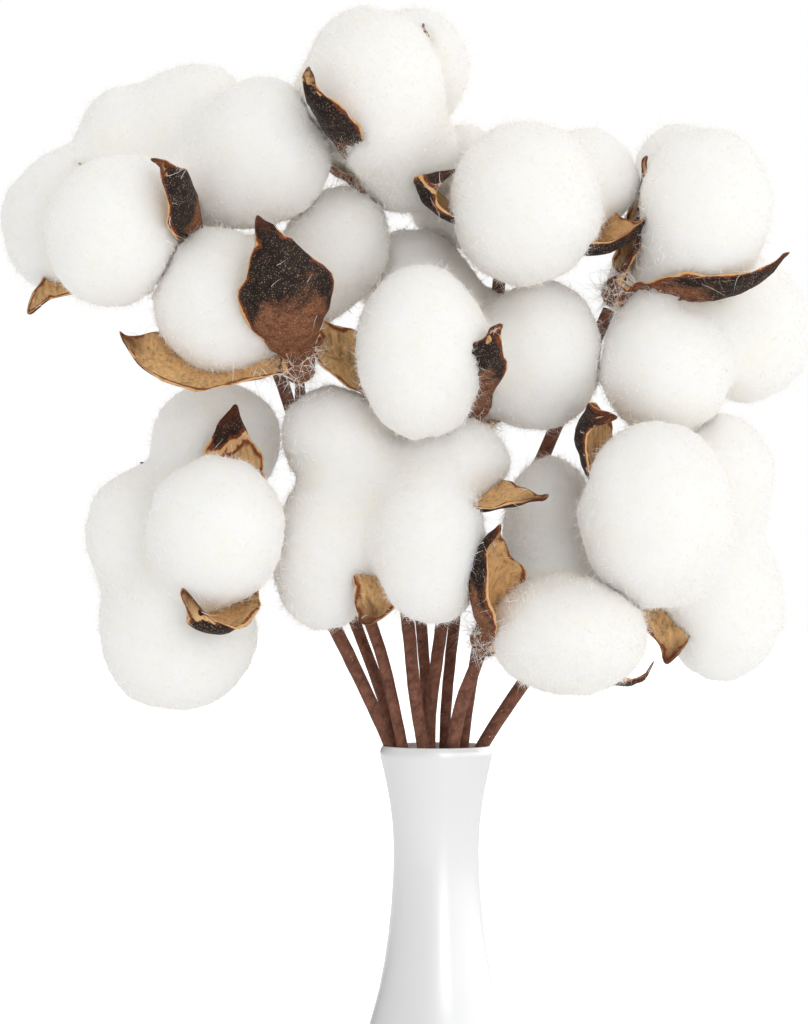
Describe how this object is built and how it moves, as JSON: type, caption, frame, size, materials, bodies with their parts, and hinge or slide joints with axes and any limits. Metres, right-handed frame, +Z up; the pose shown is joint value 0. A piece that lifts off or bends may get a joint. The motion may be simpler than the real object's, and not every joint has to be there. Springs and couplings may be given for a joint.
{
  "type": "cotton stem bunch",
  "caption": "Bunch of opened white cotton bolls in dark pointed burrs on paper-taped stems, standing loosely fanned in a slim white bottle vase.",
  "frame": {"origin": "centre of the vase's flat foot, on the surface it stands on", "axes": "+Z up along the vase, +X to the viewer's right, +Y to the back of the arrangement"},
  "size_m": [0.2025, 0.0894, 0.3366],
  "materials": {
    "vase": "gloss white glaze",
    "stem": "matt brown floral paper tape",
    "burr": "matt dark brown dried husk, tan inside",
    "lint": "fluffy off-white cotton"
  },
  "bodies": {
    "root": {"vase": "vase", "stem_01": "stem", "stem_02": "stem", "stem_03": "stem", "stem_04": "stem", "stem_05": "stem", "stem_06": "stem", "stem_07": "stem", "stem_08": "stem", "stem_09": "stem", "stem_10": "stem", "burr_01": "burr", "burr_02": "burr", "burr_03": "burr", "burr_04": "burr", "burr_05": "burr", "burr_06": "burr", "burr_07": "burr", "burr_08": "burr", "burr_09": "burr", "burr_10": "burr", "lint_01": "lint", "lint_02": "lint", "lint_03": "lint", "lint_04": "lint", "lint_05": "lint", "lint_06": "lint", "lint_07": "lint", "lint_08": "lint", "lint_09": "lint", "lint_10": "lint"}
  },
  "joints": []
}
